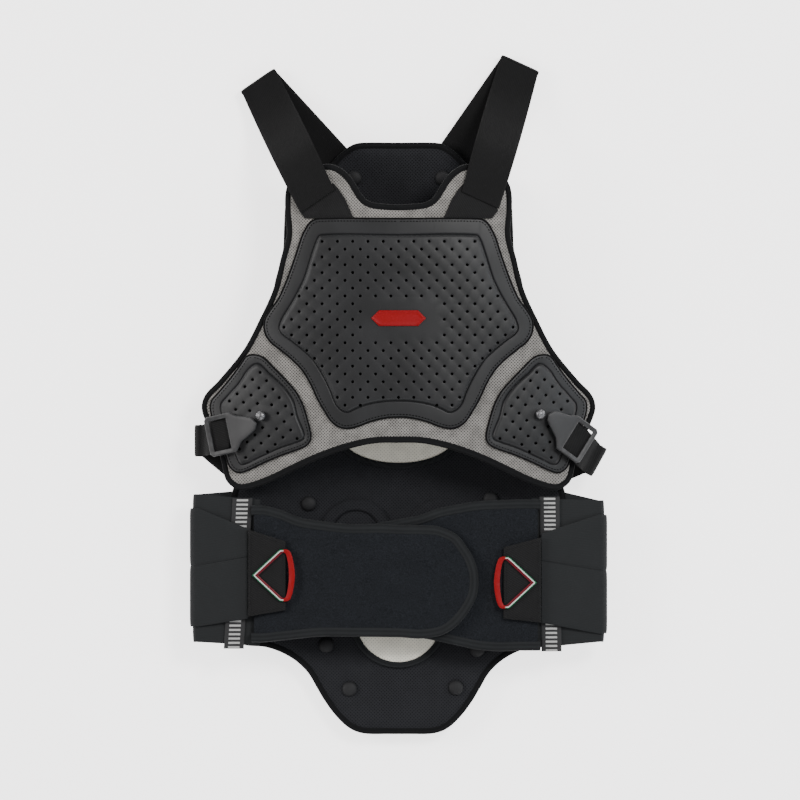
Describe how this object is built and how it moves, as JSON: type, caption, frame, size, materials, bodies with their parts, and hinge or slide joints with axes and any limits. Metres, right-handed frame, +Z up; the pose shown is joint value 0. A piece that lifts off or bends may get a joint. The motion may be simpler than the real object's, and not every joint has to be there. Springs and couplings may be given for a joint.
{
  "type": "body protector",
  "caption": "Wearable torso guard with a padded back panel, an arched chest panel carrying moulded plates, folded elastic shoulder straps and a closing padded belt.",
  "frame": {"origin": "under the middle of the whole protector, on the flat surface it lies on", "axes": "+Z up out of the chest side, +Y towards the neck, +X to the right of a viewer who looks down on the chest"},
  "size_m": [0.3954, 0.6448, 0.093],
  "materials": {
    "black_mesh": "black perforated knit over foam",
    "silver_mesh": "silver grey open spacer mesh",
    "light_mesh": "light beige grey open mesh",
    "binding_tape": "black ribbed binding tape",
    "elastic": "matt black woven elastic",
    "webbing": "black woven webbing",
    "loop_fabric": "blue black brushed loop fabric",
    "hard_plastic": "charcoal satin moulded plastic",
    "buckle_plastic": "dark grey satin moulded plastic",
    "rivet_black": "black semi gloss domed head",
    "rivet_metal": "worn grey metal dome",
    "red_rubber": "red moulded rubber",
    "reflective_tape": "black tape with silver reflective bars"
  },
  "bodies": {
    "root": {"back_panel": "black_mesh", "back_panel_binding": "binding_tape", "back_plate_upper": "hard_plastic", "back_plate_lower": "hard_plastic", "back_plate_tail": "hard_plastic", "rivet_neck_left": "rivet_black", "rivet_neck_right": "rivet_black", "rivet_waist_left": "rivet_black", "rivet_waist_right": "rivet_black", "rivet_low_left": "rivet_black", "rivet_low_right": "rivet_black", "rivet_tail_left": "rivet_black", "rivet_tail_right": "rivet_black", "window_upper": "light_mesh", "window_upper_ring": "binding_tape", "window_lower": "light_mesh", "window_lower_ring": "binding_tape", "lumbar_pad_left": "black_mesh", "lumbar_pad_right": "black_mesh", "chest_panel": "silver_mesh", "chest_panel_binding": "binding_tape", "chest_plate": "hard_plastic", "chest_badge": "red_rubber", "flank_plate_left": "hard_plastic", "flank_plate_right": "hard_plastic", "stud_left": "rivet_metal", "stud_right": "rivet_metal", "strap_patch_left": "webbing", "strap_patch_right": "webbing", "shoulder_strap_left": "elastic", "shoulder_strap_right": "elastic", "side_webbing_left": "webbing", "side_webbing_right": "webbing", "buckle_left": "buckle_plastic", "buckle_right": "buckle_plastic", "belt_panel_left": "loop_fabric", "belt_panel_left_binding": "binding_tape", "belt_panel_right": "loop_fabric", "belt_panel_right_binding": "binding_tape", "belt_side_left": "elastic", "belt_side_right": "elastic", "band_upper_left": "elastic", "band_upper_right": "elastic", "band_lower_left": "elastic", "band_lower_right": "elastic", "tape_left": "reflective_tape", "tape_right": "reflective_tape", "pull_tab_left": "webbing", "pull_tab_right": "webbing", "pull_frame_left": "red_rubber", "pull_frame_right": "red_rubber"}
  },
  "joints": []
}
